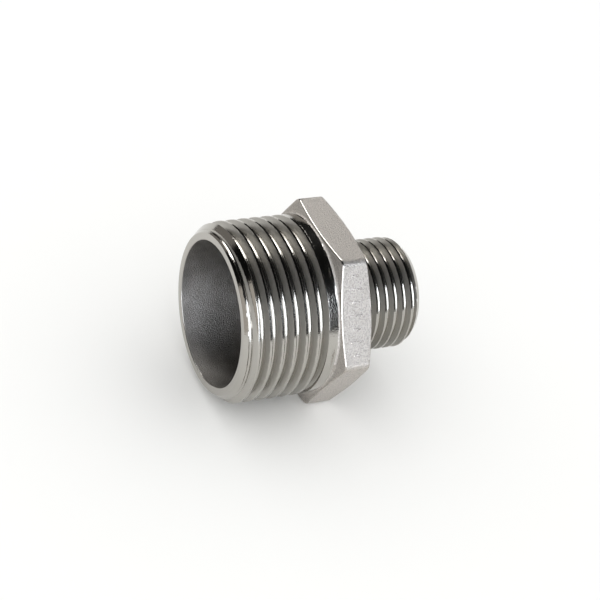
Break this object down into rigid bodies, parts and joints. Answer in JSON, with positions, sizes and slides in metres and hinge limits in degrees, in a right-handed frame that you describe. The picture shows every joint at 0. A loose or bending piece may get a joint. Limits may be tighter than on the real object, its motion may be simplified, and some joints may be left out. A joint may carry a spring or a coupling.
{
  "type": "reducing hex nipple",
  "caption": "Stainless steel reducing hexagon nipple with a G 1 male pipe thread on one end, a G 1/2 male pipe thread on the other and a bore right through.",
  "frame": {"origin": "on the axis, half way between the two end faces, which is the centre of the bounding box", "axes": "+X along the axis from the large end to the small end; +Z square to the hexagon flat that faces up"},
  "size_m": [0.0384, 0.0388, 0.034],
  "materials": {
    "turned_stainless": "turned and polished",
    "cast_stainless": "investment cast, blasted and pickled"
  },
  "bodies": {
    "root": {"large_threaded_end": "turned_stainless", "large_shank": "turned_stainless", "hex_collar": "cast_stainless", "small_shank": "turned_stainless", "small_threaded_end": "turned_stainless"}
  },
  "joints": []
}
